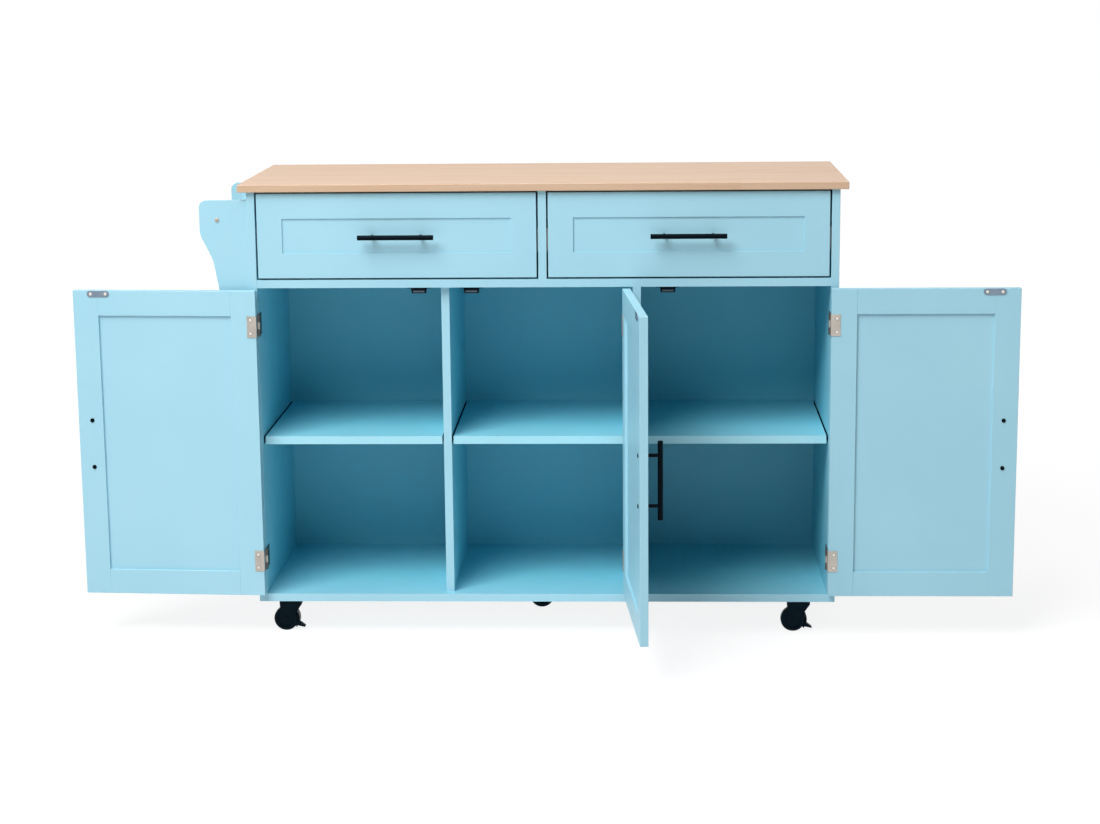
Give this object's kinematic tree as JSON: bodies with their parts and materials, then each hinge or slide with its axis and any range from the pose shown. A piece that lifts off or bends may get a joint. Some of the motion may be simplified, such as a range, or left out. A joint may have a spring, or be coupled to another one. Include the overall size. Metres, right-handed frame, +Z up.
{
  "type": "kitchen cart",
  "caption": "Rolling kitchen cabinet cart with a wooden top, inset doors and drawers with bar handles, adjustable shelves, side towel rack and braked casters.",
  "frame": {"origin": "on the floor, under the middle of the cabinet's footprint", "axes": "+X to the cart's right as its user faces it, +Y to its back, +Z up; doors and drawers face -Y"},
  "size_m": [1.8745, 0.8241, 0.922],
  "materials": {
    "blue_paint": "satin sky-blue paint on board",
    "wood_top": "light wood, matt lacquer",
    "black_metal": "satin black",
    "black_plastic": "black moulded plastic",
    "steel": "nickel-plated steel",
    "raw_wood": "raw beech"
  },
  "bodies": {
    "cabinet": {"countertop": "wood_top", "left_side_panel": "blue_paint", "right_side_panel": "blue_paint", "base_panel": "blue_paint", "drawer_deck": "blue_paint", "back_panel": "blue_paint", "rear_top_rail": "blue_paint", "drawer_divider": "blue_paint", "left_divider": "blue_paint", "right_divider": "blue_paint", "shelves": "blue_paint", "shelf_pins": "steel", "carcass_dowels": "raw_wood", "door_catches": "black_plastic", "frame_hinge_leaves": "steel", "hinge_pins": "steel", "slide_outer_members": "steel", "rack_brackets": "blue_paint", "towel_rod": "blue_paint", "cabinet_screws": "steel", "caster_plates": "steel"},
    "left_door": {"left_door_frame": "blue_paint", "left_door_panel": "blue_paint", "left_door_handle": "black_metal", "left_door_strike_plate": "steel", "left_door_hinge_leaves": "steel"},
    "middle_door": {"middle_door_frame": "blue_paint", "middle_door_panel": "blue_paint", "middle_door_handle": "black_metal", "middle_door_strike_plate": "steel", "middle_door_hinge_leaves": "steel"},
    "right_door": {"right_door_frame": "blue_paint", "right_door_panel": "blue_paint", "right_door_handle": "black_metal", "right_door_strike_plate": "steel", "right_door_hinge_leaves": "steel"},
    "left_drawer": {"left_drawer_front": "blue_paint", "left_drawer_box": "blue_paint", "left_drawer_bottom": "blue_paint", "left_drawer_handle": "black_metal", "left_drawer_slide_inners": "steel"},
    "left_drawer_slide": {"left_drawer_slide_middles": "steel"},
    "right_drawer": {"right_drawer_front": "blue_paint", "right_drawer_box": "blue_paint", "right_drawer_bottom": "blue_paint", "right_drawer_handle": "black_metal", "right_drawer_slide_inners": "steel"},
    "right_drawer_slide": {"right_drawer_slide_middles": "steel"},
    "front_left_swivel": {"front_left_fork": "black_plastic"},
    "front_left_wheel": {"front_left_wheel": "black_plastic"},
    "front_right_swivel": {"front_right_fork": "black_plastic"},
    "front_right_wheel": {"front_right_wheel": "black_plastic"},
    "middle_swivel": {"middle_fork": "black_plastic"},
    "middle_wheel": {"middle_wheel": "black_plastic"},
    "rear_left_swivel": {"rear_left_fork": "black_plastic"},
    "rear_left_wheel": {"rear_left_wheel": "black_plastic"},
    "rear_right_swivel": {"rear_right_fork": "black_plastic"},
    "rear_right_wheel": {"rear_right_wheel": "black_plastic"},
    "front_left_brake": {"front_left_brake_lever": "black_plastic"},
    "front_right_brake": {"front_right_brake_lever": "black_plastic"}
  },
  "joints": [
    {"name": "left_door_hinge", "type": "hinge", "parent": "cabinet", "child": "left_door", "pos_m": [-0.5665, -0.2235, 0.402], "axis": [0, 0, -1], "range_deg": [-183, 0]},
    {"name": "middle_door_hinge", "type": "hinge", "parent": "cabinet", "child": "middle_door", "pos_m": [0.1765, -0.2235, 0.402], "axis": [0, 0, 1], "range_deg": [-95.3, 49.7]},
    {"name": "right_door_hinge", "type": "hinge", "parent": "cabinet", "child": "right_door", "pos_m": [0.5665, -0.2235, 0.402], "axis": [0, 0, 1], "range_deg": [-180, 0]},
    {"name": "left_drawer_slide", "type": "slide", "parent": "cabinet", "child": "left_drawer", "axis": [0, -1, 0], "range_m": [0, 0.32]},
    {"name": "left_drawer_slide_middle", "type": "slide", "parent": "cabinet", "child": "left_drawer_slide", "axis": [0, -1, 0], "range_m": [0, 0.16]},
    {"name": "right_drawer_slide", "type": "slide", "parent": "cabinet", "child": "right_drawer", "axis": [0, -1, 0], "range_m": [0, 0.32]},
    {"name": "right_drawer_slide_middle", "type": "slide", "parent": "cabinet", "child": "right_drawer_slide", "axis": [0, -1, 0], "range_m": [0, 0.16]},
    {"name": "front_left_caster_swivel", "type": "hinge", "parent": "cabinet", "child": "front_left_swivel", "pos_m": [-0.52, -0.176, 0.0645], "axis": [0, 0, 1], "continuous": true},
    {"name": "front_left_wheel_spin", "type": "hinge", "parent": "front_left_swivel", "child": "front_left_wheel", "pos_m": [-0.537, -0.176, 0.025], "axis": [0, 1, 0], "continuous": true},
    {"name": "front_right_caster_swivel", "type": "hinge", "parent": "cabinet", "child": "front_right_swivel", "pos_m": [0.52, -0.176, 0.0645], "axis": [0, 0, 1], "continuous": true},
    {"name": "front_right_wheel_spin", "type": "hinge", "parent": "front_right_swivel", "child": "front_right_wheel", "pos_m": [0.503, -0.176, 0.025], "axis": [0, 1, 0], "continuous": true},
    {"name": "middle_caster_swivel", "type": "hinge", "parent": "cabinet", "child": "middle_swivel", "pos_m": [0, 0, 0.0645], "axis": [0, 0, 1], "continuous": true},
    {"name": "middle_wheel_spin", "type": "hinge", "parent": "middle_swivel", "child": "middle_wheel", "pos_m": [-0.017, 0, 0.025], "axis": [0, 1, 0], "continuous": true},
    {"name": "rear_left_caster_swivel", "type": "hinge", "parent": "cabinet", "child": "rear_left_swivel", "pos_m": [-0.52, 0.176, 0.0645], "axis": [0, 0, 1], "continuous": true},
    {"name": "rear_left_wheel_spin", "type": "hinge", "parent": "rear_left_swivel", "child": "rear_left_wheel", "pos_m": [-0.537, 0.176, 0.025], "axis": [0, 1, 0], "continuous": true},
    {"name": "rear_right_caster_swivel", "type": "hinge", "parent": "cabinet", "child": "rear_right_swivel", "pos_m": [0.52, 0.176, 0.0645], "axis": [0, 0, 1], "continuous": true},
    {"name": "rear_right_wheel_spin", "type": "hinge", "parent": "rear_right_swivel", "child": "rear_right_wheel", "pos_m": [0.503, 0.176, 0.025], "axis": [0, 1, 0], "continuous": true},
    {"name": "front_left_brake_pivot", "type": "hinge", "parent": "front_left_swivel", "child": "front_left_brake", "pos_m": [-0.513, -0.176, 0.0512], "axis": [0, -1, 0], "range_deg": [0, 28]},
    {"name": "front_right_brake_pivot", "type": "hinge", "parent": "front_right_swivel", "child": "front_right_brake", "pos_m": [0.527, -0.176, 0.0512], "axis": [0, -1, 0], "range_deg": [0, 28]}
  ],
  "couplings": [
    {"joint": "left_drawer_slide_middle", "follows": "left_drawer_slide", "ratio": 0.5},
    {"joint": "right_drawer_slide_middle", "follows": "right_drawer_slide", "ratio": 0.5}
  ]
}
